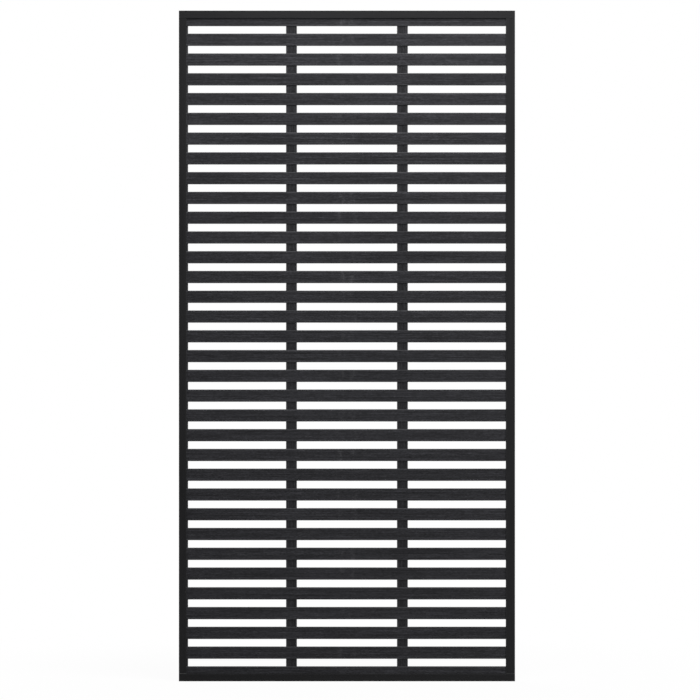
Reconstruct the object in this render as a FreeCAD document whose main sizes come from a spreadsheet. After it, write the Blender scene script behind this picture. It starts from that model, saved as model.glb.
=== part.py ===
"""Slatted screen panel: a lattice of slats and battens that stands loose in a frame of channels.

X runs across the panel, Y from its front to its back and Z up, in millimetres.
The origin is the middle of the bottom edge.
"""
import FreeCAD
import Part
import Sketcher
import os
import re

# Driving sizes, in millimetres unless they are counts
SIZES = {
    # Whole panel
    "panel_width": 902,
    "panel_height": 1800,
    # U-channel that makes the rails and stiles
    "channel_wall": 2,
    "channel_lip": 20,
    "right_stile_lip": 24,
    "channel_edge_chamfer": 0.6,
    # Corner joint: the stile's web enters the rail, and a cleat welded to it is screwed to the rail's web
    "cope_gap": 0.3,
    "tongue_clearance": 0.2,
    "cleat_leg": 20,
    "cleat_thickness": 2,
    "cleat_side_clearance": 1,
    "cleat_bend_radius": 0.8,
    "screw_offset": 15,
    "screw_diameter": 3,
    "screw_head_diameter": 5.8,
    "screw_head_angle": 90,
    "screw_clearance": 0.15,
    "thread_clearance": 0.05,
    "screw_sink": 0.1,
    "screw_tip_gap": 0.3,
    # Slats, let into the battens and standing a little proud of them
    "slat_count": 34,
    "slat_height": 33,
    "slat_thickness": 6,
    "slat_edge_chamfer": 1.5,
    # Battens, with a housing in front for each slat
    "batten_thickness": 12,
    "batten_edge_chamfer": 1,
    "housing_depth": 4,
    "housing_clearance": 0.1,
    "batten_overhang": 2.8,
    "mullion_width": 29,
    "mullion_spacing": 298,
    "end_batten_width": 19,
    # Play of the lattice inside the frame
    "lattice_front_play": 1.5,
    "lattice_back_play": 0.5,
    "lattice_side_play": 0.2,
    "lattice_headroom": 1.4,
    # Staples, driven through the battens from behind until they are flush, into one slat at each step
    "staple_step": 3,
    "staple_crown": 10,
    "staple_wire_width": 1.2,
    "staple_wire_thickness": 0.9,
    "staple_bite": 4,
    "staple_clearance": 0.05,
}

# Largest share of a piece's thickness that one eased edge may take
EDGE_SHARE = 0.45

# Sizes that follow from the driving ones
DERIVED = {
    "lattice_thickness": "slat_thickness + batten_thickness - housing_depth",
    "channel_inside": "lattice_thickness + lattice_front_play + lattice_back_play",
    "channel_depth": "channel_inside + 2 * channel_wall",
    "channel_chamfer": f"min(channel_edge_chamfer; {EDGE_SHARE} * channel_wall)",
    "stile_length": "panel_height - 2 * channel_wall",
    "cope_start": "panel_height / 2 - channel_lip - cope_gap",
    "tongue_width": "channel_inside - 2 * (channel_chamfer + tongue_clearance)",
    "cleat_width": "channel_inside - 2 * cleat_side_clearance",
    "cleat_end": "channel_wall + cleat_leg",
    "cleat_face": "channel_wall + cleat_thickness",
    "cleat_outer_radius": "cleat_bend_radius + cleat_thickness",
    "screw_hole": "screw_diameter + 2 * screw_clearance",
    "screw_countersink": "screw_head_diameter + 2 * screw_clearance",
    "thread_bore": "screw_diameter + 2 * thread_clearance",
    "screw_head_height": "(screw_head_diameter - screw_diameter) / 2 / tan(screw_head_angle / 2)",
    "screw_tip": "cleat_face - screw_tip_gap",
    "slat_length": "panel_width - 2 * (cleat_face + cleat_bend_radius + lattice_side_play)",
    "slat_chamfer": f"min(slat_edge_chamfer; {EDGE_SHARE} * slat_thickness)",
    "slat_middle_y": "-channel_inside / 2 + lattice_front_play + slat_thickness / 2",
    "batten_length": "panel_height - 2 * cleat_face - lattice_headroom",
    "batten_chamfer": f"min(batten_edge_chamfer; {EDGE_SHARE} * batten_thickness)",
    "batten_back_y": "channel_inside / 2 - lattice_back_play",
    "housing_height": "slat_height + 2 * housing_clearance",
    "housing_floor": "housing_depth - batten_thickness / 2",
    "end_batten_spacing": "slat_length - end_batten_width",
    "lowest_crossing": "batten_overhang + slat_height / 2",
    "slat_pitch": "(batten_length - 2 * lowest_crossing) / (slat_count - 1)",
    "staple_count": "floor((slat_count - 1) / staple_step) + 1",
    "staple_leg_spacing": "staple_crown - staple_wire_thickness",
    "staple_leg_hole": "staple_wire_thickness + 2 * staple_clearance",
    "staple_slot": "staple_wire_width + 2 * staple_clearance",
}

ACROSS = FreeCAD.Vector(1, 0, 0)
BACKWARDS = FreeCAD.Vector(0, 1, 0)
UPWARDS = FreeCAD.Vector(0, 0, 1)
# Lines this close to a direction, as a sine, count as along it
PARALLEL = 1e-6

doc = FreeCAD.newDocument("SlattedScreenPanel")
sheet = doc.addObject("Spreadsheet::Sheet", "Sizes")
for row, (alias, value) in enumerate(SIZES.items(), start=1):
    sheet.set(f"A{row}", alias)
    sheet.set(f"B{row}", str(value))
    sheet.setAlias(f"B{row}", alias)
doc.recompute()


def formula(text):
    """Turn a formula in size names into one that reads the sheet's cells."""

    def cell(match):
        word = match.group(0)
        if word in DERIVED:
            return f"({formula(DERIVED[word])})"
        return f"Sizes.{word}" if word in SIZES else word

    return re.sub(r"[a-z_]+", cell, text)


def value_of(text):
    """Give the present value of a formula in size names."""
    return float(sheet.evalExpression(formula(text)))


def bind(feature, **sizes):
    """Bind a feature's properties to formulas in size names."""
    for name, text in sizes.items():
        feature.setExpression(name, formula(text))


def new_body(label, x="0", y="0", z="0", axis=UPWARDS, angle=0):
    """Start a sub-part, turned about an axis and placed at a point given by formulas."""
    body = doc.addObject("PartDesign::Body", label)
    body.Label = label
    body.Placement = FreeCAD.Placement(FreeCAD.Vector(), FreeCAD.Rotation(axis, angle))
    for name, text in zip("xyz", (x, y, z)):
        body.setExpression(f".Placement.Base.{name}", formula(text))
    return body


def origin_of(body, role):
    """Find one of a body's own origin planes or axes by its role."""
    return next(item for item in body.Origin.OriginFeatures if item.Role == role)


def new_sketch(body, name, role, offset="0"):
    """Start a sketch on one of a body's origin planes, moved along the plane's normal."""
    sketch = body.newObject("Sketcher::SketchObject", name)
    sketch.AttachmentSupport = [(origin_of(body, role), "")]
    sketch.MapMode = "FlatFace"
    sketch.setExpression(".AttachmentOffset.Base.z", formula(offset))
    return sketch


def pin(sketch, item, end, x, y):
    """Fix one end of a sketch line, or a circle's centre, at a point given by formulas."""
    for kind, text, axis in (("DistanceX", x, -2), ("DistanceY", y, -1)):
        value = value_of(text)
        if value == 0:
            sketch.addConstraint(Sketcher.Constraint("PointOnObject", item, end, axis))
            continue
        number = sketch.addConstraint(Sketcher.Constraint(kind, item, end, value))
        sketch.setExpression(f"Constraints[{number}]", formula(text))


def draw_outline(sketch, corners):
    """Draw a closed outline through corners whose coordinates are formulas."""
    points = [FreeCAD.Vector(value_of(x), value_of(y), 0) for x, y in corners]
    lines = [
        sketch.addGeometry(Part.LineSegment(start, end), False)
        for start, end in zip(points, points[1:] + points[:1])
    ]
    for line, following in zip(lines, lines[1:] + lines[:1]):
        sketch.addConstraint(Sketcher.Constraint("Coincident", line, 2, following, 1))
    for line, (x, y) in zip(lines, corners):
        pin(sketch, line, 1, x, y)
    return lines


def draw_rectangle(sketch, x, y, width, height):
    """Draw a rectangle about a middle point, all given by formulas."""
    left, right = f"{x} - {width} / 2", f"{x} + {width} / 2"
    bottom, top = f"{y} - {height} / 2", f"{y} + {height} / 2"
    draw_outline(sketch, [(left, bottom), (right, bottom), (right, top), (left, top)])


def draw_circle(sketch, x, y, diameter):
    """Draw a circle whose middle and diameter are formulas."""
    middle = FreeCAD.Vector(value_of(x), value_of(y), 0)
    radius = value_of(diameter) / 2
    circle = sketch.addGeometry(Part.Circle(middle, FreeCAD.Vector(0, 0, 1), radius), False)
    pin(sketch, circle, 3, x, y)
    number = sketch.addConstraint(Sketcher.Constraint("Diameter", circle, 2 * radius))
    sketch.setExpression(f"Constraints[{number}]", formula(diameter))


def add_pad(body, sketch, length, side="Symmetric"):
    """Raise a sketch into a solid."""
    pad = body.newObject("PartDesign::Pad", f"{sketch.Name}_pad")
    pad.Profile = sketch
    pad.SideType = side
    bind(pad, Length=length)
    doc.recompute()
    return pad


def add_pocket(body, sketch, length, side="One side", reverse=False):
    """Cut a sketch into the solid."""
    pocket = body.newObject("PartDesign::Pocket", f"{sketch.Name}_pocket")
    pocket.Profile = sketch
    pocket.SideType = side
    pocket.Reversed = reverse
    bind(pocket, Length=length)
    doc.recompute()
    return pocket


def add_fillet(body, base, edges, radius):
    """Round the named edges of a body's last feature."""
    fillet = body.newObject("PartDesign::Fillet", f"{base.Name}_fillet")
    fillet.Base = (base, edges)
    bind(fillet, Radius=radius)
    doc.recompute()
    return fillet


def add_chamfer(body, base, direction, size):
    """Ease all the edges of a body's last feature that run in one direction."""
    chamfer = body.newObject("PartDesign::Chamfer", f"{base.Name}_chamfer")
    chamfer.Base = (base, edges_along(base, direction))
    bind(chamfer, Size=size)
    doc.recompute()
    return chamfer


def add_pattern(body, feature, spacing, count):
    """Repeat a feature upwards at an even spacing."""
    pattern = body.newObject("PartDesign::LinearPattern", f"{feature.Name}_pattern")
    pattern.Originals = [feature]
    pattern.Direction = (origin_of(body, "Z_Axis"), [""])
    pattern.Mode = "Spacing"
    bind(pattern, Offset=spacing, Occurrences=count)
    body.Tip = pattern
    doc.recompute()
    return pattern


def edges_along(feature, direction):
    """Name a solid's straight edges that run in one direction."""
    return [
        f"Edge{number}"
        for number, edge in enumerate(feature.Shape.Edges, start=1)
        if edge.Curve.TypeId == "Part::GeomLine" and edge.Curve.Direction.cross(direction).Length < PARALLEL
    ]


def edge_at(feature, x, z):
    """Name the solid's edge that passes nearest to a point of the body's middle plane."""
    point = Part.Vertex(value_of(x), 0, value_of(z))
    distances = [edge.distToShape(point)[0] for edge in feature.Shape.Edges]
    return f"Edge{distances.index(min(distances)) + 1}"


def add_countersunk_holes(body, sketch):
    """Drill clearance holes for the corner screws from a web's outer face, at a sketch's circles."""
    hole = body.newObject("PartDesign::Hole", f"{sketch.Name}_hole")
    hole.Profile = sketch
    hole.DepthType = "ThroughAll"
    hole.Reversed = True
    hole.HoleCutType = "Countersink"
    hole.HoleCutCustomValues = True
    bind(hole, Diameter="screw_hole", HoleCutDiameter="screw_countersink")
    bind(hole, HoleCutCountersinkAngle="screw_head_angle")
    doc.recompute()
    return hole


def u_section(outer, inner, back, web, tips):
    """List the corners of a U about the axis: its half widths, then the levels of its back, web and tips."""
    half = [(outer, back), (outer, tips), (inner, tips), (inner, web)]
    return half + [(f"-({across})", level) for across, level in reversed(half)]


def channel_section(lip):
    """List the corners of a channel whose web is at level 0 and whose lips end at a given level."""
    return u_section("channel_depth / 2", "channel_inside / 2", "0", "channel_wall", lip)


def make_rail(label, height, angle):
    """Make a rail: a full-width channel, open towards the slats, with a screw hole near each end."""
    body = new_body(label, z=height, axis=BACKWARDS, angle=angle)
    section = new_sketch(body, f"{label}_section", "YZ_Plane")
    draw_outline(section, channel_section("channel_lip"))
    pad = add_pad(body, section, "panel_width")
    add_chamfer(body, pad, ACROSS, "channel_chamfer")
    holes = new_sketch(body, f"{label}_screws", "XY_Plane")
    for sign in ("-", ""):
        draw_circle(holes, f"{sign}(panel_width / 2 - screw_offset)", "0", "screw_hole")
    add_countersunk_holes(body, holes)
    return body


def make_stile(label, x, angle, lip):
    """Make a stile: a channel whose lips stop at the rails and whose web runs on into them as a tongue."""
    body = new_body(label, x=x, z="panel_height / 2", angle=angle)
    section = new_sketch(body, f"{label}_section", "XY_Plane")
    draw_outline(section, [(level, across) for across, level in channel_section(lip)])
    pad = add_pad(body, section, "stile_length")
    add_chamfer(body, pad, UPWARDS, "channel_chamfer")
    cope = new_sketch(body, f"{label}_cope", "YZ_Plane")
    for side in ("", "-"):
        for end in ("", "-"):
            inner, outer = f"{side}tongue_width / 2", f"{side}channel_depth"
            start, stop = f"{end}cope_start", f"{end}panel_height / 2"
            draw_outline(cope, [(inner, start), (outer, start), (outer, stop), (inner, stop)])
    add_pocket(body, cope, lip, reverse=True)
    return body


def make_cleat(label, x, z, axis, angle):
    """Make an angle cleat: one leg is welded to the stile's web, the other takes the rail's screw."""
    body = new_body(label, x=x, z=z, axis=axis, angle=angle)
    section = new_sketch(body, f"{label}_section", "XZ_Plane")
    draw_outline(section, [
        ("channel_wall", "channel_wall"),
        ("cleat_end", "channel_wall"),
        ("cleat_end", "cleat_face"),
        ("cleat_face", "cleat_face"),
        ("cleat_face", "cleat_end"),
        ("channel_wall", "cleat_end"),
    ])
    pad = add_pad(body, section, "cleat_width")
    inside = add_fillet(body, pad, [edge_at(pad, "cleat_face", "cleat_face")], "cleat_bend_radius")
    add_fillet(body, inside, [edge_at(inside, "channel_wall", "channel_wall")], "cleat_outer_radius")
    bore = new_sketch(body, f"{label}_bore", "XY_Plane")
    draw_circle(bore, "screw_offset", "0", "thread_bore")
    add_pocket(body, bore, "cleat_face", reverse=True)
    return body


def make_screws(label):
    """Make the corner screws: one up through the bottom rail's web, mirrored to the other corners."""
    body = new_body(label, z="panel_height / 2")
    body.AllowCompound = True
    half = new_sketch(body, f"{label}_half", "XZ_Plane")
    axis, base = "screw_offset - panel_width / 2", "screw_sink - panel_height / 2"
    tip = "screw_tip - panel_height / 2"
    draw_outline(half, [
        (axis, base),
        (f"{axis} + screw_head_diameter / 2", base),
        (f"{axis} + screw_diameter / 2", f"{base} + screw_head_height"),
        (f"{axis} + screw_diameter / 2", tip),
        (axis, tip),
    ])
    screw = body.newObject("PartDesign::Revolution", f"{label}_turned")
    screw.Profile = half
    screw.ReferenceAxis = (half, ["Edge5"])
    screw.Angle = 360
    corners = body.newObject("PartDesign::MultiTransform", f"{label}_corners")
    corners.Originals = [screw]
    mirrors = []
    for role in ("YZ_Plane", "XY_Plane"):
        mirror = body.newObject("PartDesign::Mirrored", f"{label}_{role}_mirror")
        mirror.MirrorPlane = (origin_of(body, role), [""])
        mirrors.append(mirror)
    corners.Transformations = mirrors
    body.Tip = corners
    doc.recompute()
    return body


def make_slat(number):
    """Make a slat, counted from the top, with blind holes in its back if it is stapled."""
    label = f"slat_{number:02d}"
    slats_below = f"(slat_count - {number})"
    body = new_body(label, y="slat_middle_y", z=f"cleat_face + lowest_crossing + {slats_below} * slat_pitch")
    section = new_sketch(body, f"{label}_section", "YZ_Plane")
    draw_rectangle(section, "0", "0", "slat_thickness", "slat_height")
    pad = add_pad(body, section, "slat_length")
    add_chamfer(body, pad, ACROSS, "slat_chamfer")
    if value_of(f"mod({slats_below}; staple_step)") == 0:
        add_leg_holes(body, label)
    return body


def add_leg_holes(body, label):
    """Cut the holes of the staples' legs into a slat's back, two at each batten."""
    legs = new_sketch(body, f"{label}_legs", "XZ_Plane", offset="-slat_thickness / 2")
    for spacing in ("mullion_spacing", "end_batten_spacing"):
        for side in ("-", ""):
            for leg in ("-", "+"):
                middle = f"{side}{spacing} / 2 {leg} staple_leg_spacing / 2"
                draw_rectangle(legs, middle, "0", "staple_leg_hole", "staple_slot")
    add_pocket(body, legs, "staple_bite + staple_clearance", reverse=True)


def make_batten(label, x, width):
    """Make a batten that stands on the bottom cleats, with a housing for each slat and staple slots."""
    body = new_body(label, x=x, y="batten_back_y - batten_thickness / 2", z="cleat_face")
    section = new_sketch(body, f"{label}_section", "XY_Plane")
    draw_rectangle(section, "0", "0", width, "batten_thickness")
    pad = add_pad(body, section, "batten_length", side="One side")
    add_chamfer(body, pad, UPWARDS, "batten_chamfer")
    housing = new_sketch(body, f"{label}_housing", "YZ_Plane")
    low, high = "lowest_crossing - housing_height / 2", "lowest_crossing + housing_height / 2"
    front = "-batten_thickness"
    draw_outline(housing, [(front, low), ("housing_floor", low), ("housing_floor", high), (front, high)])
    pocket = add_pocket(body, housing, width, side="Symmetric")
    add_pattern(body, pocket, "slat_pitch", "slat_count")
    slot = new_sketch(body, f"{label}_slot", "XY_Plane", offset="lowest_crossing")
    draw_outline(slot, u_section(
        "staple_crown / 2 + staple_clearance",
        "staple_crown / 2 - staple_wire_thickness - staple_clearance",
        "batten_thickness",
        "batten_thickness / 2 - staple_wire_thickness - staple_clearance",
        "-batten_thickness",
    ))
    pocket = add_pocket(body, slot, "staple_slot", side="Symmetric")
    add_pattern(body, pocket, "staple_step * slat_pitch", "staple_count")
    return body


def make_staples(label, x):
    """Make one batten's staples, their crowns flush with its back and their legs in the slats."""
    body = new_body(label, x=x, y="batten_back_y", z="cleat_face")
    body.AllowCompound = True
    section = new_sketch(body, f"{label}_section", "XY_Plane", offset="lowest_crossing")
    draw_outline(section, u_section(
        "staple_crown / 2",
        "staple_crown / 2 - staple_wire_thickness",
        "0",
        "-staple_wire_thickness",
        "housing_depth - batten_thickness - staple_bite",
    ))
    pad = add_pad(body, section, "staple_wire_width")
    add_pattern(body, pad, "staple_step * slat_pitch", "staple_count")
    return body


def make_frame():
    """Make the rails, stiles, cleats and corner screws."""
    left, right, top = "-panel_width / 2", "panel_width / 2", "panel_height"
    return [
        make_rail("top_rail", top, 180),
        make_rail("bottom_rail", "0", 0),
        make_stile("left_stile", left, 0, "channel_lip"),
        make_stile("right_stile", right, 180, "right_stile_lip"),
        make_cleat("corner_cleat_bottom_left", left, "0", UPWARDS, 0),
        make_cleat("corner_cleat_bottom_right", right, "0", UPWARDS, 180),
        make_cleat("corner_cleat_top_left", left, top, ACROSS, 180),
        make_cleat("corner_cleat_top_right", right, top, BACKWARDS, 180),
        make_screws("corner_screws"),
    ]


def make_lattice():
    """Make the slats, and the battens with their staples."""
    pieces = [make_slat(number) for number in range(1, int(value_of("slat_count")) + 1)]
    for kind in ("mullion", "end_batten"):
        for side, sign in (("left", "-"), ("right", "")):
            x = f"{sign}{kind}_spacing / 2"
            pieces.append(make_batten(f"{kind}_{side}", x, f"{kind}_width"))
            pieces.append(make_staples(f"staples_{kind}_{side}", x))
    return pieces


def check(pieces):
    """Stop if a feature failed, a cut removed nothing or a sub-part has no valid shape."""
    doc.recompute()
    for item in doc.Objects:
        if {"Invalid", "Error"} & set(item.State):
            raise RuntimeError(f"{item.Label} failed: {item.State}")
        if item.TypeId in ("PartDesign::Pocket", "PartDesign::Hole"):
            if item.Shape.Volume >= item.BaseFeature.Shape.Volume:
                raise RuntimeError(f"{item.Label} cuts nothing")
    for piece in pieces:
        if piece.Shape.isNull() or not piece.Shape.isValid():
            raise RuntimeError(f"{piece.Label} has no valid shape")


sub_parts = make_frame() + make_lattice()
check(sub_parts)
os.makedirs("parts", exist_ok=True)
for sub_part in sub_parts:
    sub_part.Shape.exportStep(f"parts/{sub_part.Label}.step")
    print(sub_part.Label, len(sub_part.Shape.Solids), round(sub_part.Shape.Volume, 1))
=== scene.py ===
"""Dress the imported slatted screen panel: brushed composite slats and battens in a coated metal frame.

Lengths are in metres. X runs across the panel, Y from its front to its back and Z up.
"""
import logging
import math
from collections.abc import Sequence
from dataclasses import dataclass
from enum import Enum
from typing import Any

import bmesh
import bpy
import numpy as np
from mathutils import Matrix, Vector
from numpy.typing import NDArray


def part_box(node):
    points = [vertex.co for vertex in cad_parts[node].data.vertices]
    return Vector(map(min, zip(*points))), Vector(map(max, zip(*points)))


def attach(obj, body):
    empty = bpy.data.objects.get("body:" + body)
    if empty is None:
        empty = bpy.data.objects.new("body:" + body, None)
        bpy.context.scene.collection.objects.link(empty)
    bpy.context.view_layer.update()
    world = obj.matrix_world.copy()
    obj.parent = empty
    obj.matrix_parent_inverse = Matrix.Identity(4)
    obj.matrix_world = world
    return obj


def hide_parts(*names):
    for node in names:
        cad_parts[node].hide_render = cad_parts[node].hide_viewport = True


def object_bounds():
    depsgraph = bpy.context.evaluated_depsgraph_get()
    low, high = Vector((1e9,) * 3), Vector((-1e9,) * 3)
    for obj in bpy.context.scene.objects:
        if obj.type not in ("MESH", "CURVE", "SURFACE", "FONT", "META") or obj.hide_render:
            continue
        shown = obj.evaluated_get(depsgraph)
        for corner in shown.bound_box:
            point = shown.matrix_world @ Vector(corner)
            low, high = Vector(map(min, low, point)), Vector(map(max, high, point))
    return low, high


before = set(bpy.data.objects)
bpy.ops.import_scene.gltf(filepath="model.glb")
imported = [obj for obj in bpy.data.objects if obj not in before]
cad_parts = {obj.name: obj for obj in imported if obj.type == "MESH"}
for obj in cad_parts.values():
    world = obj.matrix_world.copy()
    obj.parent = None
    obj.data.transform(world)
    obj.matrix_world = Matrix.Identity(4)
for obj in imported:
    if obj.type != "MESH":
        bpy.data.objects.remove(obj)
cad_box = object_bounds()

Array = NDArray[np.float64]
Socket = bpy.types.NodeSocket
Value = Socket | float | Sequence[float]
Colour = tuple[float, float, float]
Place = tuple[float, float, float]
Span = tuple[float, float]

LOG = logging.getLogger("slatted_screen_panel")
BODY = "root"
MM = 0.001
# Points closer than this are one point
MERGE = 0.001 * MM
# Faces that meet at more than this are shaded apart
FOLD = math.radians(40)
# The signs of a section's four quarters, anticlockwise
QUARTERS = np.array([(1, 1), (-1, 1), (-1, -1), (1, -1)])

# Ranges of a cloudy pattern's values: nearly all of them, most of them, the higher ones and the few highest
ALL = (0.25, 0.75)
MOST = (0.3, 0.7)
HIGH = (0.5, 0.75)
PEAKS = (0.68, 0.80)


class Grain(Enum):
    """The way that a board's grain or a channel's length runs."""

    ACROSS = 0
    UP = 2

    def stretch(self, along: float, aside: float) -> tuple[float, float, float]:
        """Scale coordinates so that a pattern's marks get a length and a width.

        Args:
            along: length of a mark along the grain.
            aside: width of a mark across the grain.

        Returns:
            A scale for each of X, Y and Z.
        """
        scales = [1 / aside] * 3
        scales[self.value] = 1 / along
        return tuple(scales)


class Slot(Enum):
    """The record's material slots, one for each kind of new piece."""

    SLAT = "slat_composite"
    BATTEN = "batten_composite"
    SCREW = "screw_metal"
    STAPLE = "staple_wire"


@dataclass(frozen=True)
class Marks:
    """Cloudy marks along the grain: their size and finer layers, their swing of shade and their depth."""

    length: float
    width: float
    detail: float
    swing: float = 0.0
    depth: float = 0.0
    roughness: float = 0.5


@dataclass(frozen=True)
class Specks:
    """Small soft specks, at most one in each cell of a given spacing."""

    spacing: float
    radius: float
    share: float
    cover: float
    colour: Colour
    core: float = 0.4


class Shader:
    """A material's node tree, with a method for each kind of node that the finishes use."""

    def __init__(self, name: str) -> None:
        """Start a material that has only a surface shader and its output.

        Args:
            name: the material's name.
        """
        self.material = bpy.data.materials.new(name)
        self.material.use_nodes = True
        self.tree = self.material.node_tree
        self.surface = next(n for n in self.tree.nodes if n.type == "BSDF_PRINCIPLED")
        self.coordinates = self.tree.nodes.new("ShaderNodeTexCoord").outputs["Object"]

    def feed(self, socket: Socket, value: Value) -> None:
        """Link a socket to another one, or set it to a constant.

        Args:
            socket: the socket to feed.
            value: another socket, or a constant.
        """
        if isinstance(value, bpy.types.NodeSocket):
            self.tree.links.new(value, socket)
        else:
            socket.default_value = value

    def node(self, kind: str, inputs: dict[int | str, Value], **settings: Any) -> bpy.types.Node:
        """Add a node.

        Args:
            kind: the node's type, without its common prefix.
            inputs: what each of its sockets is fed.
            settings: the node's own options.

        Returns:
            The new node.
        """
        node = self.tree.nodes.new("ShaderNode" + kind)
        for option, choice in settings.items():
            setattr(node, option, choice)
        for key, value in inputs.items():
            self.feed(node.inputs[key], value)
        return node

    def math(self, operation: str, first: Value, second: Value = 0.0) -> Socket:
        """Combine two numbers."""
        return self.node("Math", {0: first, 1: second}, operation=operation).outputs[0]

    def gap(self, first: Value, second: Value) -> Socket:
        """Give the distance between two numbers."""
        return self.math("ABSOLUTE", self.math("SUBTRACT", first, second))

    def axis(self, index: int) -> Socket:
        """Give one of the object's coordinates."""
        return self.node("SeparateXYZ", {0: self.coordinates}).outputs[index]

    def attribute(self, name: str) -> Socket:
        """Read a number that the mesh carries on its points."""
        return self.node("Attribute", {}, attribute_name=name).outputs["Fac"]

    def noise(self, scale: Sequence[float], detail: float, roughness: float = 0.5) -> Socket:
        """Make a cloudy pattern on the object's coordinates.

        Args:
            scale: how often the pattern repeats in a metre of X, Y and Z.
            detail: how many finer layers it has.
            roughness: how strong each finer layer is.

        Returns:
            The pattern, from 0 to 1 and mostly near the middle.
        """
        place = self.node("Mapping", {"Vector": self.coordinates, "Scale": scale}).outputs[0]
        inputs = {"Vector": place, "Scale": 1.0, "Detail": detail, "Roughness": roughness}
        return self.node("TexNoise", inputs).outputs[0]

    def marks(self, grain: Grain, layer: Marks) -> Socket:
        """Make a cloudy pattern that is stretched along the grain."""
        return self.noise(grain.stretch(layer.length, layer.width), layer.detail, layer.roughness)

    def remap(self, value: Socket, span: Span, to: Span = (0.0, 1.0)) -> Socket:
        """Carry one range of numbers smoothly to another, held at its ends."""
        inputs = {"Value": value, "From Min": span[0], "From Max": span[1], "To Min": to[0], "To Max": to[1]}
        return self.node("MapRange", inputs, interpolation_type="SMOOTHSTEP").outputs[0]

    def swung(self, pattern: Socket, span: Span, swing: float) -> Socket:
        """Turn a pattern into a factor that swings evenly about 1."""
        return self.remap(pattern, span, (1 - swing, 1 + swing))

    def product(self, *values: Value) -> Socket:
        """Multiply several numbers.

        Args:
            values: the numbers.

        Returns:
            Their product.
        """
        result = values[0]
        for value in values[1:]:
            result = self.math("MULTIPLY", result, value)
        return result

    def tinted(self, colour: Colour, shade: Socket) -> Socket:
        """Scale a colour by a number."""
        return self.node("VectorMath", {0: colour, "Scale": shade}, operation="SCALE").outputs[0]

    def blend(self, share: Socket, first: Socket, second: Colour) -> Socket:
        """Lay a second colour over a first by a share.

        Args:
            share: how much of the second colour shows, from 0 to 1.
            first: the colour below.
            second: the colour on top.

        Returns:
            The mixed colour.
        """
        mix = self.node("Mix", {"Factor": share}, data_type="RGBA")
        self.feed(mix.inputs["A"], first)
        self.feed(mix.inputs["B"], (*second, 1.0))
        return mix.outputs["Result"]

    def speckled(self, colour: Socket, specks: Specks) -> Socket:
        """Scatter specks over a colour.

        A speck is a soft disc about the point of a cell, and a share of the cells has one.

        Args:
            colour: the colour below.
            specks: what the specks are like.

        Returns:
            The speckled colour.
        """
        cells = self.node("TexVoronoi", {"Vector": self.coordinates, "Scale": 1 / specks.spacing})
        radius = specks.radius / specks.spacing
        disc = self.remap(cells.outputs["Distance"], (radius, specks.core * radius))
        lot = self.node("SeparateColor", {0: cells.outputs["Color"]}).outputs[0]
        chosen = self.math("LESS_THAN", lot, specks.share)
        return self.blend(self.product(disc, chosen, specks.cover), colour, specks.colour)

    def relief(self, height: Socket, depth: float, under: Socket | None = None) -> Socket:
        """Turn a pattern into bumps of a real depth, laid over other bumps.

        Args:
            height: the pattern.
            depth: how far apart its lowest and highest values are.
            under: the bumps below, if there are any.

        Returns:
            The bumps, for a normal socket.
        """
        inputs: dict[int | str, Value] = {"Height": height, "Strength": 1.0, "Distance": depth}
        if under is not None:
            inputs["Normal"] = under
        return self.node("Bump", inputs).outputs[0]

    def finish(self, **sockets: Value) -> bpy.types.Material:
        """Feed the surface shader's sockets.

        Args:
            sockets: what each is fed, by its name with underscores for spaces.

        Returns:
            The material.
        """
        for name, value in sockets.items():
            self.feed(self.surface.inputs[name.replace("_", " ")], value)
        return self.material


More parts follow.
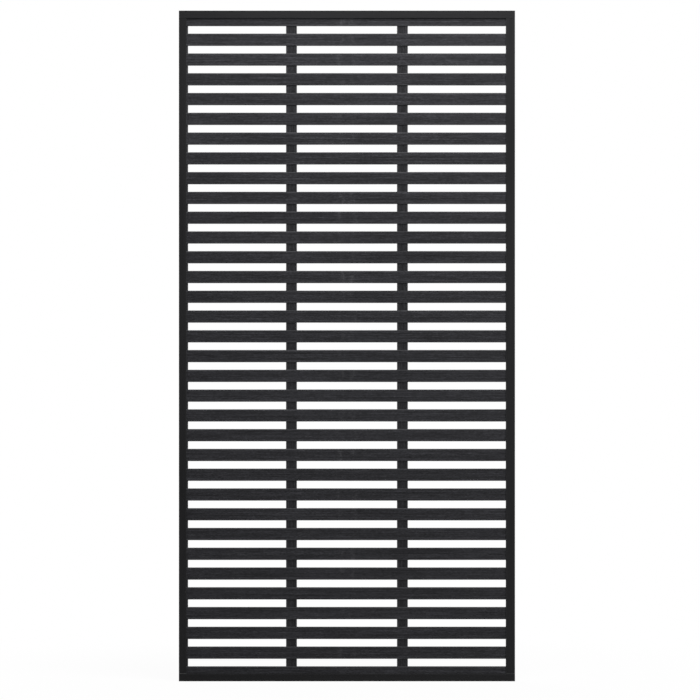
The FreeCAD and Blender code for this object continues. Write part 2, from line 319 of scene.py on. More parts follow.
@dataclass(frozen=True)
class CompositeFinish:
    """Brushed composite: streaks, flecks, fibres and scrapes along the grain, rubbed bands, and pale edges of
    wear and painted highlight.
    """

    name: str
    grain: Grain
    colour: Colour
    pale: Colour = (0.070, 0.070, 0.075)
    streak: Marks = Marks(0.340, 0.0021, detail=2, swing=0.44, depth=0.20 * MM)
    strand: Marks = Marks(0.040, 0.0019, detail=1, swing=0.20)
    fleck: Marks = Marks(0.0054, 0.0010, detail=1, swing=0.46, depth=0.10 * MM)
    fibre: Marks = Marks(0.020, 0.0007, detail=2, swing=0.26, depth=0.10 * MM)
    scrape: Marks = Marks(0.050, 0.00032, detail=1, swing=0.40, depth=0.05 * MM)
    cloud: Marks = Marks(0.240, 0.080, detail=4, swing=0.05)
    scratch: Marks = Marks(0.045, 0.0016, detail=1)
    scratch_cover: float = 0.30
    # Pale share of the edges: partly wear, partly a painted highlight on the eased edges
    edge_wear_and_highlight_cover: Span = (0.10, 0.40)
    band_fade: Span = (11 * MM, 1 * MM)
    rub_patch: Marks = Marks(0.010, 0.020, detail=3, roughness=0.6)
    rub_patch_span: Span = (0.40, 0.64)
    rub_cover: Span = (0.0, 0.58)
    rub_fleck_span: Span = (0.35, 0.65)
    rub_fleck_cover: Span = (0.3, 1.0)
    specks: Specks = Specks(0.06, 0.0013, share=0.3, cover=0.6, colour=(0.18, 0.18, 0.18))
    roughness: Span = (0.48, 0.72)
    specular: float = 0.10

    def pair(self, shader: Shader) -> Socket:
        """Find the two bands that are rubbed pale, one each side of the panel's middle.

        Args:
            shader: the tree to add nodes to.

        Returns:
            A mask that is the board's rub in the bands.
        """
        aside = shader.math("ABSOLUTE", shader.axis(Grain.ACROSS.value))
        band = shader.remap(shader.gap(aside, shader.attribute("spread")), self.band_fade)
        return shader.product(shader.attribute("rub"), band)

    def material(self) -> bpy.types.Material:
        """Make the material.

        Returns:
            A material that reads the boards' tone, edge, rub and spread attributes.
        """
        shader = Shader(self.name)
        layers = (self.streak, self.strand, self.fleck, self.fibre, self.scrape)
        patterns = {layer: shader.marks(self.grain, layer) for layer in layers}
        clouds = shader.marks(self.grain, self.cloud)
        shade = shader.product(
            shader.attribute("tone"),
            *(shader.swung(pattern, ALL, layer.swing) for layer, pattern in patterns.items()),
            shader.swung(clouds, MOST, self.cloud.swing),
        )
        # Pale edges: partly wear, partly a painted highlight where the eased edges catch the light
        edge_wear_and_highlight = shader.product(shader.attribute("edge"), shader.remap(clouds, ALL, self.edge_wear_and_highlight_cover))
        patches = shader.marks(self.grain, self.rub_patch)
        rubbed = shader.product(
            self.pair(shader),
            shader.remap(patches, self.rub_patch_span, self.rub_cover),
            shader.remap(patterns[self.fleck], self.rub_fleck_span, self.rub_fleck_cover),
        )
        scratches = shader.marks(self.grain, self.scratch)
        colour = shader.tinted(self.colour, shade)
        colour = shader.blend(edge_wear_and_highlight, colour, self.pale)
        colour = shader.blend(rubbed, colour, self.pale)
        colour = shader.blend(shader.remap(scratches, PEAKS, (0.0, self.scratch_cover)), colour, self.pale)
        colour = shader.speckled(colour, self.specks)
        bumps = None
        for layer in (self.streak, self.fleck, self.fibre, self.scrape):
            bumps = shader.relief(patterns[layer], layer.depth, bumps)
        return shader.finish(
            Base_Color=colour,
            Roughness=shader.remap(patterns[self.fibre], ALL, self.roughness),
            Specular_IOR_Level=self.specular,
            Normal=bumps,
        )


@dataclass(frozen=True)
class CoatFinish:
    """Powder coat on a channel: a pebbled skin with faint clouds and scuffs, pale edges of wear and painted
    highlight, and a pale sawn foot of bare metal and painted highlight.
    """

    name: str
    grain: Grain
    middle: float
    outer: float
    lip: float
    foot: float = 0.0
    # How far the band at the foot goes to the metal colour: partly bare metal, partly a painted highlight of
    # the seam
    bare_and_seam_highlight: float = 0.0
    colour: Colour = (0.0144, 0.0144, 0.0151)
    pale: Colour = (0.040, 0.040, 0.041)
    metal: Colour = (0.085, 0.085, 0.087)
    pebble: Marks = Marks(1.1 * MM, 1.1 * MM, detail=2, swing=0.10, depth=0.10 * MM)
    cloud: Marks = Marks(0.40, 0.05, detail=4, swing=0.10)
    line: Marks = Marks(0.30, 0.0016, detail=1, swing=0.05)
    scuff: Marks = Marks(0.030, 0.0014, detail=2)
    scuff_cover: float = 0.25
    edge_fade: Span = (1.6 * MM, 0.3 * MM)
    # Pale share of the outer corner and lip edges: partly wear, partly a painted highlight
    edge_wear_and_highlight_cover: Span = (0.12, 0.45)
    foot_fade: Span = (1.7 * MM, 0.9 * MM)
    specks: Specks = Specks(0.09, 0.001, share=0.25, cover=0.5, colour=(0.16, 0.16, 0.16))
    roughness: Span = (0.40, 0.56)
    specular: float = 0.02

    def edges(self, shader: Shader) -> Socket:
        """Find the channel's outer corner and the edge of its lips.

        Args:
            shader: the tree to add nodes to.

        Returns:
            A mask that is 1 on those edges.
        """
        across = Grain.UP if self.grain is Grain.ACROSS else Grain.ACROSS
        level = shader.gap(shader.axis(across.value), self.middle)
        gaps = [shader.gap(level, edge) for edge in (self.outer, self.outer - self.lip)]
        return shader.remap(shader.math("MINIMUM", *gaps), self.edge_fade)

    def material(self) -> bpy.types.Material:
        """Make the material.

        Returns:
            A material for a rail or a stile.
        """
        shader = Shader(self.name)
        layers = (self.pebble, self.cloud, self.line)
        patterns = {layer: shader.marks(self.grain, layer) for layer in layers}
        clouds = patterns[self.cloud]
        shade = shader.product(
            *(shader.swung(pattern, MOST, layer.swing) for layer, pattern in patterns.items())
        )
        # Pale edge lines: partly wear, partly a painted highlight
        edge_wear_and_highlight = shader.product(self.edges(shader), shader.remap(clouds, MOST, self.edge_wear_and_highlight_cover))
        scuffs = shader.marks(self.grain, self.scuff)
        height = shader.gap(shader.axis(Grain.UP.value), self.foot)
        colour = shader.tinted(self.colour, shade)
        colour = shader.blend(edge_wear_and_highlight, colour, self.pale)
        colour = shader.blend(shader.remap(scuffs, PEAKS, (0.0, self.scuff_cover)), colour, self.pale)
        colour = shader.speckled(colour, self.specks)
        # Pale band at the foot: partly bare metal, partly a painted highlight of the seam
        colour = shader.blend(shader.remap(height, self.foot_fade, (0.0, self.bare_and_seam_highlight)), colour, self.metal)
        return shader.finish(
            Base_Color=colour,
            Roughness=shader.remap(clouds, MOST, self.roughness),
            Specular_IOR_Level=self.specular,
            Normal=shader.relief(patterns[self.pebble], self.pebble.depth),
        )


@dataclass(frozen=True)
class MetalFinish:
    """Bare metal with fine drawn lines and dull patches."""

    name: str
    colour: Colour
    dull: Colour
    roughness: Span
    line: Marks = Marks(0.012, 0.0003, detail=2, depth=0.04 * MM)
    line_shade: Span = (0.85, 1.1)
    patch: Marks = Marks(6.25 * MM, 6.25 * MM, detail=3)
    patch_cover: float = 0.7

    def material(self) -> bpy.types.Material:
        """Make the material.

        Returns:
            A metallic material.
        """
        shader = Shader(self.name)
        lines = shader.marks(Grain.ACROSS, self.line)
        patches = shader.marks(Grain.ACROSS, self.patch)
        colour = shader.tinted(self.colour, shader.remap(lines, MOST, self.line_shade))
        colour = shader.blend(shader.remap(patches, HIGH, (0.0, self.patch_cover)), colour, self.dull)
        return shader.finish(
            Base_Color=colour,
            Metallic=1.0,
            Roughness=shader.remap(patches, MOST, self.roughness),
            Normal=shader.relief(lines, self.line.depth),
        )


def tube_faces(stations: int, sides: int, outward: bool = True) -> list[list[int]]:
    """Join a tube's rings with quads and close its two ends.

    Args:
        stations: how many rings there are along the tube.
        sides: how many points there are round a ring.
        outward: whether the rings run anticlockwise about the way along the tube.

    Returns:
        The faces, each a list of point numbers, with the two ends last.
    """
    ring = np.arange(sides) if outward else np.arange(sides)[::-1]
    following = np.roll(ring, -1)
    quads = np.stack([ring, following, following + sides, ring + sides], axis=1)
    starts = sides * np.arange(stations - 1)
    walls = (starts[:, None, None] + quads).reshape(-1, 4).tolist()
    last = sides * (stations - 1)
    return walls + [ring[::-1].tolist(), (last + ring).tolist()]


def repeat_faces(faces: list[list[int]], copies: int, points: int) -> list[list[int]]:
    """Number the faces of several copies of a shape, each with so many points, that follow each other."""
    return [[corner + points * copy for corner in face] for copy in range(copies) for face in faces]


def add_piece(
    name: str,
    points: Array,
    faces: list[list[int]],
    material: bpy.types.Material,
    slot: Slot,
    nodes: Sequence[str],
    **attributes: Array,
) -> bpy.types.Object:
    """Make a mesh piece that stands for some of the model's nodes, with points that coincide merged.

    Args:
        name: the piece's name.
        points: its points, in any array whose last axis is X, Y and Z.
        faces: its faces, each a list of point numbers.
        material: its finish.
        slot: the record's slot for that finish; not used.
        nodes: the nodes that it stands for.
        attributes: numbers for each point, by name, for the finish to read.

    Returns:
        The new object.
    """
    mesh = bpy.data.meshes.new(name)
    mesh.from_pydata(points.reshape(-1, 3), [], faces, shade_flat=False)
    for key, values in attributes.items():
        data = mesh.attributes.new(key, "FLOAT", "POINT").data
        data.foreach_set("value", values.astype(np.float32).ravel())
    shape = bmesh.new()
    shape.from_mesh(mesh)
    bmesh.ops.remove_doubles(shape, verts=shape.verts, dist=MERGE)
    shape.to_mesh(mesh)
    shape.free()
    mesh.set_sharp_from_angle(angle=FOLD)
    mesh.materials.append(material)
    piece = bpy.data.objects.new(name, mesh)
    bpy.context.scene.collection.objects.link(piece)
    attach(piece, BODY)
    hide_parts(*nodes)
    counts = len(mesh.vertices), len(mesh.polygons)
    LOG.info("%s: %d points, %d faces, finish %s", name, *counts, material.name)
    return piece


def smooth_step(values: Array, low: float, high: float) -> Array:
    """Rise smoothly from 0 at one value to 1 at another, as 3t^2 - 2t^3."""
    share = np.clip((values - low) / (high - low), 0, 1)
    return share * share * (3 - 2 * share)


@dataclass
class Board:
    """A composite board of the lattice: a rounded rectangle carried along the grain, with brushed faces."""

    node: str
    grain: Grain
    slot: Slot
    seed: int
    rub: float = 0.0
    spread: float = 0.0
    corner: float = 1.6 * MM
    corner_steps: int = 5
    face_step: float = 1.0 * MM
    face_tolerance: float = 0.01 * MM
    edge_fade: float = 1.2 * MM
    ring_step: float = 10 * MM
    end_ease: float = 0.4 * MM
    end_fade: Span = (3 * MM, 1 * MM)
    stroke_spacing: float = 13 * MM
    stroke_reach: Span = (20 * MM, 130 * MM)
    stroke_width: Span = (0.5 * MM, 1.1 * MM)
    stroke_fade: Span = (0.5, 1.0)
    stroke_share: Span = (0.2, 1.0)
    stroke_depth: float = 0.16 * MM
    stroke_margin: float = 1.0 * MM
    bow: float = 0.08 * MM
    bow_turn: float = 1.3 * math.pi
    tone_spread: float = 0.035

    def __post_init__(self) -> None:
        """Take the board's box from its node."""
        low, high = (np.array(corner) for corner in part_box(self.node))
        self.middle: Array = (low + high) / 2
        self.half: Array = (high - low) / 2
        self.reach = float(self.half[self.grain.value])
        self.random = np.random.default_rng(self.seed)
        self.aside = [axis for axis in range(3) if axis != self.grain.value]

    def divide(self, start: Array, end: Array) -> Array:
        """Divide a face evenly between the corners at its two sides."""
        steps = max(2, round(float(np.linalg.norm(end - start)) / self.face_step))
        return start + np.linspace(0, 1, steps + 1)[1:-1, None] * (end - start)

    def section(self) -> tuple[Array, Array]:
        """Draw the rounded rectangle.

        Each corner is a quarter circle, and each face is divided up to the next corner.

        Returns:
            The points across the grain, anticlockwise about it, and how near each is to a corner: 1 is on it.
        """
        half = self.half[self.aside]
        angles = (math.pi / 2) * np.arange(4)[:, None] + np.linspace(0, math.pi / 2, self.corner_steps)
        circle = np.stack([np.cos(angles), np.sin(angles)], axis=2)
        arcs = (QUARTERS * (half - self.corner))[:, None] + self.corner * circle
        points, nearness = [], []
        for arc, following in zip(arcs, np.roll(arcs, -1, axis=0)):
            face = self.divide(arc[-1], following[0])
            gaps = [np.linalg.norm(face - corner, axis=1) for corner in (arc[-1], following[0])]
            points += [arc, face]
            nearness += [np.ones(self.corner_steps), np.exp(-np.minimum(*gaps) / self.edge_fade)]
        return np.concatenate(points), np.concatenate(nearness)

    def places(self) -> Array:
        """Space the rings evenly along the board, with one more at each sawn end.

        Returns:
            The places along the grain, about the board's middle.
        """
        inner = self.reach - self.end_ease
        steps = round(2 * inner / self.ring_step)
        return np.concatenate([[-self.reach], np.linspace(-inner, inner, steps + 1), [self.reach]])

    def brushing(self, along: Array, height: Array) -> Array:
        """Brush shallow strokes into a face.

        A stroke is a trough: a bell across the grain times a window along it that rises and falls smoothly.
        The strokes add up, and the deepest is held at twice the depth of one.

        Args:
            along: places along the grain.
            height: places across the face.

        Returns:
            A depth for each place along the grain and each place across the face.
        """
        strokes = round(2 * self.reach / self.stroke_spacing)
        centre = self.random.uniform(along.min(), along.max(), strokes)
        reach = self.random.uniform(*self.stroke_reach, strokes)
        level = self.random.uniform(height.min(), height.max(), strokes)
        spread = self.random.uniform(*self.stroke_width, strokes)
        depth = self.random.uniform(*self.stroke_share, strokes) * self.stroke_depth
        window = 1 - smooth_step(np.abs(along[:, None] - centre) / reach, *self.stroke_fade)
        bell = np.exp(-(((height[:, None] - level) / spread) ** 2))
        return np.minimum((window * depth) @ bell.T, 2 * self.stroke_depth)

    def rings(self, along: Array, section: Array) -> Array:
        """Set the section at each place along the grain.

        A ring is the section, drawn in a little at the sawn ends, pressed in by the brushing on the two
        wide faces, and moved sideways by a slow wave that stands for the board's bow.

        Args:
            along: places along the grain.
            section: the points across the grain.

        Returns:
            The points across the grain, for each place.
        """
        half = self.half[self.aside]
        thin = int(np.argmin(half))
        wide = 1 - thin
        at_end = np.abs(along) > self.reach - self.end_ease / 2
        drawn_in = np.where(at_end, self.end_ease, 0)[:, None, None]
        rings = section[None] - drawn_in * np.sign(section) * (np.abs(section) > half - self.corner)
        on_face = np.abs(section[:, thin]) > half[thin] - self.face_tolerance
        flat = half[wide] - self.corner
        window = on_face * (1 - smooth_step(np.abs(section[:, wide]), flat - self.stroke_margin, flat))
        rings[:, :, thin] -= np.sign(section[:, thin]) * self.brushing(along, section[:, wide]) * window
        phase = self.random.uniform(0, 2 * math.pi)
        share = along / self.reach
        rings[:, :, wide] += (self.bow * np.sin(self.bow_turn * share + phase) * (1 - share**2))[:, None]
        return rings

    def build(self, material: bpy.types.Material) -> bpy.types.Object:
        """Sweep the section along the grain, and draw a last ring at each end in to a point that closes it.

        Args:
            material: the board's finish.

        Returns:
            The board's object.
        """
        section, nearness = self.section()
        along = self.places()
        rings = self.rings(along, section)
        along = np.pad(along, 1, mode="edge")
        points = np.zeros((len(along), len(section), 3))
        points[:, :, self.grain.value] = along[:, None]
        points[:, :, self.aside] = np.pad(rings, ((1, 1), (0, 0), (0, 0)))
        points += self.middle
        fade = [self.reach - distance for distance in self.end_fade]
        ends = smooth_step(np.abs(along), *fade)[:, None]
        return add_piece(
            f"{self.node}_board",
            points,
            tube_faces(len(along), len(section)),
            material,
            self.slot,
            [self.node],
            edge=np.maximum(nearness, ends),
            tone=np.full(points.shape[:2], self.random.normal(1.0, self.tone_spread)),
            rub=np.full(points.shape[:2], self.rub),
            spread=np.full(points.shape[:2], self.spread),
        )


@dataclass
class Batten(Board):
    """An upright board whose front has a housing for each slat."""

    corner: float = 1.0 * MM
    ring_step: float = 6 * MM
    slats: Sequence[str] = ()
    housing_depth: float = 4 * MM
    clearance: float = 0.1 * MM

    def __post_init__(self) -> None:
        """Take the housings' edges from the slats."""
        super().__post_init__()
        boxes = [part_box(slat) for slat in self.slats]
        self.lows = np.array([low.z for low, high in boxes]) - self.clearance - self.middle[2]
        self.highs = np.array([high.z for low, high in boxes]) + self.clearance - self.middle[2]
        self.floor = self.housing_depth - float(self.half[1])

    def divide(self, start: Array, end: Array) -> Array:
        """Divide a face evenly, but start a side's steps at the housings' floor.

        Args:
            start: the end of the corner before the face.
            end: the start of the corner after it.

        Returns:
            The points between the two.
        """
        points = super().divide(start, end)
        if start[0] != end[0]:
            return points
        behind = points[points[:, 1] > self.floor + self.face_step / 2]
        joined = np.concatenate([behind, [[start[0], self.floor]]])
        return joined[np.argsort(joined[:, 1] * np.sign(end[1] - start[1]))]

    def places(self) -> Array:
        """Add two rings at each edge of a housing, one for the face and one for the housing's floor."""
        return np.sort(np.concatenate([super().places(), *[self.lows] * 2, *[self.highs] * 2]))

    def rings(self, along: Array, section: Array) -> Array:
        """Press the front back to the floor wherever a ring is in a housing.

        Of two rings at a housing's lower edge the second is in it, and at its upper edge the first.

        Args:
            along: places along the grain.
            section: the points across the grain.

        Returns:
            The points across the grain, for each place.
        """
        rings = super().rings(along, section)
        number = np.arange(len(along))
        begun = np.searchsorted(np.sort(np.searchsorted(along, self.lows) + 1), number, side="right")
        ended = np.searchsorted(np.sort(np.searchsorted(along, self.highs) + 1), number, side="right")
        housed = begun > ended
        rings[housed, :, 1] = np.maximum(rings[housed, :, 1], self.floor)
        return rings


@dataclass
class Staples:
    """One batten's staples: flat wire bent square, with the crowns just proud of the batten's back."""

    batten: str
    slats: Sequence[str]
    crown: float = 10 * MM
    wire: Span = (0.9 * MM, 1.2 * MM)
    bevel_share: float = 0.25
    bend: float = 1.0 * MM
    bend_steps: int = 4
    proud: float = 0.25 * MM
    leg: float = 12 * MM

    def line(self) -> tuple[Array, Array]:
        """Draw the wire's line: up a leg, round a quarter circle, along the crown and back down the same way.

        Returns:
            The line's points, across the batten and into it, and the way out of the bend at each, as arrows
            of length 1.
        """
        turn = np.linspace(0, math.pi / 2, self.bend_steps)
        inner = (self.crown - self.wire[0]) / 2 - self.bend
        across = inner + self.bend * np.concatenate([[1], np.cos(turn)])
        depth = np.concatenate([[self.bend - self.leg], self.bend * (np.sin(turn) - 1)])
        angle = np.concatenate([[0], turn])
        angle = np.concatenate([angle, math.pi - angle[::-1]])
        across = np.concatenate([across, -across[::-1]])
        depth = np.concatenate([depth, depth[::-1]])
        return np.stack([across, depth], axis=1), np.stack([np.cos(angle), np.sin(angle)], axis=1)

    def section(self) -> Array:
        """Draw the flat wire's section, a rectangle with bevelled corners.

        Returns:
            The points, out of the bend and along the batten.
        """
        thick, wide = (size / 2 for size in self.wire)
        ease = self.bevel_share * self.wire[0]
        quarter = np.array([(thick, wide - ease), (thick - ease, wide)])
        corners = QUARTERS[:, None] * quarter
        corners[1::2] = corners[1::2, ::-1]
        return corners.reshape(-1, 2)

    def build(self, material: bpy.types.Material) -> bpy.types.Object:
        """Carry the section along the line, and set a copy of the staple behind each slat.

        Args:
            material: the wire's finish.

        Returns:
            The object that holds all the batten's staples.
        """
        line, outward = self.line()
        section = self.section()
        rings = np.zeros((len(line), len(section), 3))
        rings[:, :, :2] = line[:, None] + outward[:, None] * section[:, :1]
        rings[:, :, 2] = section[:, 1]
        low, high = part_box(self.batten)
        seats = np.zeros((len(self.slats), 1, 1, 3))
        seats[..., 0] = (low.x + high.x) / 2
        seats[..., 1] = high.y + self.proud - self.wire[0] / 2
        seats[:, 0, 0, 2] = [sum(corner.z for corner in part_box(slat)) / 2 for slat in self.slats]
        staple = tube_faces(len(line), len(section), outward=False)
        faces = repeat_faces(staple, len(self.slats), rings.size // 3)
        node = f"staples_{self.batten}"
        return add_piece(f"{node}_wire", rings[None] + seats, faces, material, Slot.STAPLE, [node])


@dataclass
class Lattice:
    """The slats, the battens that they are let into and the staples that join them."""

    slat_count: int = 34
    staple_step: int = 3
    rub_spread: Span = (8 * MM, 26 * MM)
    rub_fade: Span = (1.0, 0.6)
    rub_seed: int = 5
    slat_finish: CompositeFinish = CompositeFinish(
        "brushed_slat_composite", Grain.ACROSS, colour=(0.0167, 0.0167, 0.0190)
    )
    # The battens take a darker copy of the slats' colour: painted shade on the battens
    batten_finish: CompositeFinish = CompositeFinish(
        "brushed_batten_composite", Grain.UP, colour=(0.0128, 0.0128, 0.0143)
    )
    wire_finish: MetalFinish = MetalFinish(
        "galvanised_wire", colour=(0.50, 0.51, 0.52), dull=(0.30, 0.30, 0.31), roughness=(0.35, 0.6)
    )

    def build(self) -> None:
        """Make and dress every slat, batten and staple."""
        slats = [f"slat_{number:02d}" for number in range(1, self.slat_count + 1)]
        slat_material = self.slat_finish.material()
        batten_material = self.batten_finish.material()
        wire_material = self.wire_finish.material()
        random = np.random.default_rng(self.rub_seed)
        rubs = random.uniform(0, 1, self.slat_count) * np.linspace(*self.rub_fade, self.slat_count)
        spreads = random.uniform(*self.rub_spread, self.slat_count)
        for seed, (slat, rub, spread) in enumerate(zip(slats, rubs, spreads)):
            Board(slat, Grain.ACROSS, Slot.SLAT, seed, rub, spread).build(slat_material)
        battens = [f"{kind}_{side}" for kind in ("mullion", "end_batten") for side in ("left", "right")]
        for seed, batten in enumerate(battens, start=self.slat_count):
            Batten(batten, Grain.UP, Slot.BATTEN, seed, slats=slats).build(batten_material)
            Staples(batten, slats[:: self.staple_step]).build(wire_material)


@dataclass
class CornerScrews:
    """The countersunk screws that hold the rails to the cleats, with a cross recess and a thread."""

    node: str = "corner_screws"
    sides: int = 48
    head: float = 2.9 * MM
    head_rings: int = 26
    head_middle: float = 0.04 * MM
    shank: float = 1.5 * MM
    shank_rings: int = 26
    length: float = 3.6 * MM
    tip_length: float = 0.4 * MM
    tip_share: float = 0.35
    pitch: float = 0.5 * MM
    thread: float = 0.27 * MM
    recess: float = 0.9 * MM
    recess_rise: float = 0.6
    arm: Span = (1.65 * MM, 0.36 * MM)
    arm_fade: Span = (0.8, 0.7)

    def cross(self, points: Array) -> Array:
        """Say how far the recess reaches down at points of the head's face.

        An arm is a smooth window along one axis times one across it, the deeper of two crossed arms counts,
        and the floor rises evenly from the middle outwards.

        Args:
            points: places on the face, about the screw's axis.

        Returns:
            A depth for each point.
        """
        reach, width = self.arm
        reach_fade, width_fade = self.arm_fade
        size = np.abs(points)
        along = 1 - smooth_step(size, reach_fade * reach, reach)
        aside = 1 - smooth_step(size, width_fade * width, width)
        arms = along * aside[..., ::-1]
        spread = np.linalg.norm(points, axis=-1) / reach
        return self.recess * arms.max(axis=-1) * (1 - self.recess_rise * np.clip(spread, 0, 1))

    def surface(self) -> Array:
        """Turn the screw about its axis, with its head upwards at height 0.

        The face is a polar grid pressed in by the recess, then comes the head's cone, then the shank, whose
        radius is a triangle wave of height less turn, and a small cone ends it.

        Returns:
            The points of each ring, from the middle of the head's face to the tip.
        """
        turn = np.linspace(0, 2 * math.pi, self.sides, endpoint=False)
        way = np.stack([np.cos(turn), np.sin(turn)], axis=1)
        face = np.linspace(self.head_middle, self.head, self.head_rings)[:, None, None] * way
        top = np.concatenate([face, -self.cross(face)[..., None]], axis=2)
        foot = self.shank - self.head
        height = np.linspace(foot, self.tip_length - self.length, self.shank_rings)[:, None]
        wave = np.abs((height / self.pitch - turn / (2 * math.pi)) % 1 - 0.5) * 2
        fade = smooth_step(-height, -foot, -foot + self.pitch)
        radius = self.shank - self.thread * wave * fade
        heights = np.broadcast_to(height, radius.shape)[..., None]
        shaft = np.concatenate([radius[..., None] * way, heights], axis=2)
        tip = np.full((1, self.sides, 3), -self.length)
        tip[..., :2] = self.tip_share * self.shank * way
        return np.concatenate([top, shaft, tip])

    def build(self, material: bpy.types.Material) -> bpy.types.Object:
        """Set a screw at each corner, heads outwards.

        Args:
            material: the screws' finish.

        Returns:
            The object that holds the four screws.
        """
        upright = self.surface()
        hanging = upright * np.array([1, -1, -1])
        low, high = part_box(self.node)
        screws = [
            screw + np.array([x, (low.y + high.y) / 2, z])
            for screw, z in ((upright, high.z), (hanging, low.z))
            for x in (low.x + self.head, high.x - self.head)
        ]
        screw = tube_faces(len(upright), self.sides, outward=False)
        faces = repeat_faces(screw, len(screws), upright.size // 3)
        return add_piece(f"{self.node}_cut", np.stack(screws), faces, material, Slot.SCREW, [self.node])


@dataclass
class ChannelFrame:
    """The rails, stiles, cleats and corner screws."""

    lip: float = 20 * MM
    right_lip: float = 24 * MM
    # Strength of each stile's pale foot band, left and right: bare metal and painted highlight
    feet_bare_and_seam_highlight: Span = (0.9, 0.4)
    # Darker copy of the coat colour for the left stile: painted shade on the side away from the light
    left_painted_shade_colour: Colour = (0.0134, 0.0134, 0.0140)
    plate_finish: MetalFinish = MetalFinish(
        "cleat_plate", colour=(0.62, 0.62, 0.63), dull=(0.42, 0.42, 0.43), roughness=(0.3, 0.5)
    )
    screw_finish: MetalFinish = MetalFinish(
        "zinc_screw", colour=(0.45, 0.45, 0.46), dull=(0.22, 0.22, 0.23), roughness=(0.3, 0.5)
    )

    def coats(self) -> dict[str, bpy.types.Material]:
        """Mix the rails' coat and the coat of each stile, whose sawn feet stand on the bottom rail's lips and
        carry a pale band of bare metal and painted highlight; the left stile's coat is darker, a painted
        shade.

        Returns:
            A material for each rail and stile.
        """
        low, high = cad_box
        half_height = high.z / 2
        left_bare_and_seam_highlight, right_bare_and_seam_highlight = self.feet_bare_and_seam_highlight
        rail = CoatFinish(
            "rail_coat", Grain.ACROSS, middle=half_height, outer=half_height, lip=self.lip
        ).material()
        left = CoatFinish(
            "left_stile_coat_painted_shade",
            Grain.UP,
            middle=0.0,
            outer=high.x,
            lip=self.lip,
            foot=self.lip,
            bare_and_seam_highlight=left_bare_and_seam_highlight,
            colour=self.left_painted_shade_colour,
        ).material()
        right = CoatFinish(
            "right_stile_coat",
            Grain.UP,
            middle=0.0,
            outer=high.x,
            lip=self.right_lip,
            foot=self.lip,
            bare_and_seam_highlight=right_bare_and_seam_highlight,
        ).material()
        return {"top_rail": rail, "bottom_rail": rail, "left_stile": left, "right_stile": right}

    def build(self) -> None:
        """Dress the frame's own nodes and make the screws."""
        cleats = [f"corner_cleat_{end}_{side}" for end in ("bottom", "top") for side in ("left", "right")]
        finishes = self.coats() | dict.fromkeys(cleats, self.plate_finish.material())
        for node, material in finishes.items():
            self.dress(node, material)
        CornerScrews().build(self.screw_finish.material())

    def dress(self, node: str, material: bpy.types.Material) -> None:
        """Give a node its finish in place of its plain one.

        Args:
            node: the node's name.
            material: its finish.
        """
        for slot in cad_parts[node].material_slots:
            slot.material = material
        LOG.info("%s: keeps its own shape, finish %s", node, material.name)


def shown(tree: bpy.types.NodeTree) -> Socket:
    """Tell the rays that show a surface from those that only carry its light.

    Args:
        tree: the tree to add nodes to.

    Returns:
        A number that is 1 for a ray from the camera, off a glossy surface or through a clear one.
    """
    path = tree.nodes.new("ShaderNodeLightPath").outputs
    seen = path["Is Camera Ray"]
    for other in ("Is Glossy Ray", "Is Transmission Ray"):
        either = tree.nodes.new("ShaderNodeMath")
        either.operation = "MAXIMUM"
        tree.links.new(seen, either.inputs[0])
        tree.links.new(path[other], either.inputs[1])
        seen = either.outputs[0]
    return seen


@dataclass(frozen=True)
class Lamp:
    """A square soft lamp that points at a spot."""

    name: str
    power: float
    place: Place
    aim: Place
    side: float

    def hang(self) -> None:
        """Add the lamp to the scene, unseen by the camera."""
        light = bpy.data.lights.new(self.name, "AREA")
        light.energy = self.power
        light.size = self.side
        holder = bpy.data.objects.new(self.name, light)
        holder.location = self.place
        holder.rotation_euler = (Vector(self.aim) - Vector(self.place)).to_track_quat("-Z", "Y").to_euler()
        holder.visible_camera = False
        bpy.context.scene.collection.objects.link(holder)


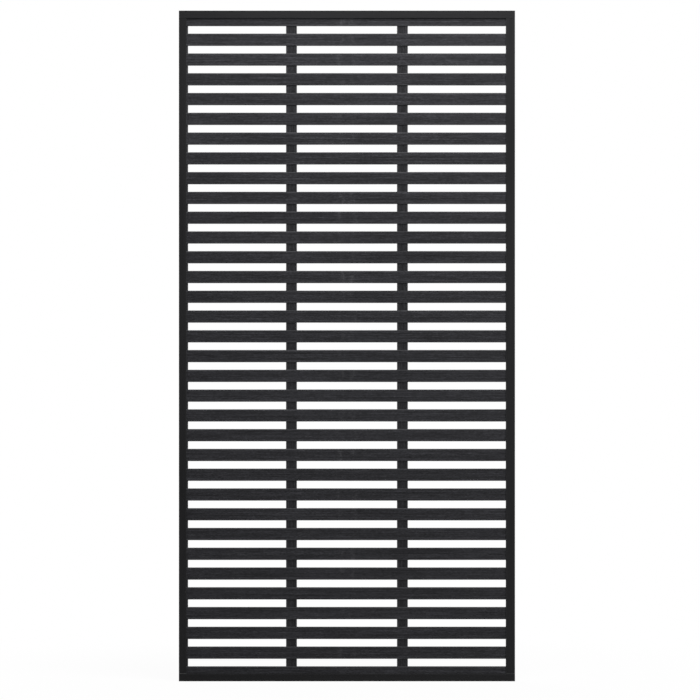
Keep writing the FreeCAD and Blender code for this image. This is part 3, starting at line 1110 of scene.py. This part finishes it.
@dataclass
class Studio:
    """A pale floor, soft light that comes mostly from the upper right in front, and the camera."""

    image_side: int = 700
    scale: float = 2.6835 * MM
    panel_middle: Span = (346.94, 345.95)
    distance: float = 9.0
    sensor: float = 36.0
    ambient: float = 0.270
    lamps: tuple[Lamp, ...] = (
        Lamp("key_lamp", 138.0, place=(0.55, -1.0, 3.5), aim=(0.1, 0.0, 2.6), side=1.3),
        Lamp("side_lamp", 27.0, place=(1.7, -2.5, 0.8), aim=(0.2, 0.0, 0.8), side=1.4),
        Lamp("back_lamp", 90.0, place=(-1.6, 3.0, 2.6), aim=(0.0, 0.0, 0.9), side=2.0),
    )
    floor_reach: float = 6.0
    floor_shade: float = 0.6
    floor_roughness: float = 0.9
    floor_specular: float = 0.1
    shadow_fade: Span = (0.5, 1.6)
    white_share: Span = (0.95, 1.0)

    def build(self) -> None:
        """Set up the camera, the world, the lamps and the floor."""
        self.add_camera()
        self.light_world()
        for lamp in self.lamps:
            lamp.hang()
        self.add_floor()
        bpy.context.scene.view_settings.view_transform = "Standard"

    def add_camera(self) -> None:
        """Set the camera square to the panel, so that the panel's middle falls on its place in the image."""
        low, high = cad_box
        camera = bpy.data.cameras.new("camera")
        camera.sensor_width = self.sensor
        camera.lens = self.sensor * self.distance / (self.image_side * self.scale)
        holder = bpy.data.objects.new("camera", camera)
        column, row = (self.image_side / 2 - pixel for pixel in self.panel_middle)
        holder.location = (column * self.scale, low.y - self.distance, high.z / 2 - row * self.scale)
        holder.rotation_euler = (math.pi / 2, 0, 0)
        bpy.context.scene.collection.objects.link(holder)
        bpy.context.scene.camera = holder

    def light_world(self) -> None:
        """Make the world white where it is seen or mirrored, and an even dim light elsewhere."""
        world = bpy.data.worlds.new("studio")
        world.use_nodes = True
        bpy.context.scene.world = world
        tree = world.node_tree
        level = tree.nodes.new("ShaderNodeMapRange")
        tree.links.new(shown(tree), level.inputs["Value"])
        level.inputs["To Min"].default_value = self.ambient
        background = next(n for n in tree.nodes if n.type == "BACKGROUND")
        background.inputs["Color"].default_value = (1, 1, 1, 1)
        tree.links.new(level.outputs[0], background.inputs["Strength"])

    def add_floor(self) -> None:
        """Lay a pale floor that is white where it is seen, apart from a share of the panel's shadow."""
        mesh = bpy.data.meshes.new("floor")
        corners = np.pad(self.floor_reach * QUARTERS, ((0, 0), (0, 1)))
        mesh.from_pydata(corners, [], [[0, 1, 2, 3]])
        floor = bpy.data.objects.new("floor", mesh)
        bpy.context.scene.collection.objects.link(floor)
        shader = Shader("pale_floor")
        tree = shader.tree
        shader.finish(
            Base_Color=(*[self.floor_shade] * 3, 1.0),
            Roughness=self.floor_roughness,
            Specular_IOR_Level=self.floor_specular,
        )
        white = shader.node("Emission", {"Color": (1, 1, 1, 1), "Strength": 1.0})
        spread = shader.node("VectorMath", {0: shader.coordinates}, operation="LENGTH").outputs["Value"]
        share = shader.remap(spread, self.shadow_fade, self.white_share)
        mixed = shader.node("MixShader", {0: shader.math("MULTIPLY", shown(tree), share)})
        tree.links.new(shader.surface.outputs[0], mixed.inputs[1])
        tree.links.new(white.outputs[0], mixed.inputs[2])
        output = next(n for n in tree.nodes if n.type == "OUTPUT_MATERIAL")
        tree.links.new(mixed.outputs[0], output.inputs["Surface"])
        mesh.materials.append(shader.material)


def main() -> None:
    """Build the dressed panel and its studio."""
    logging.basicConfig(level=logging.INFO, format="%(message)s")
    ChannelFrame().build()
    Lattice().build()
    Studio().build()


if __name__ == "__main__":
    main()
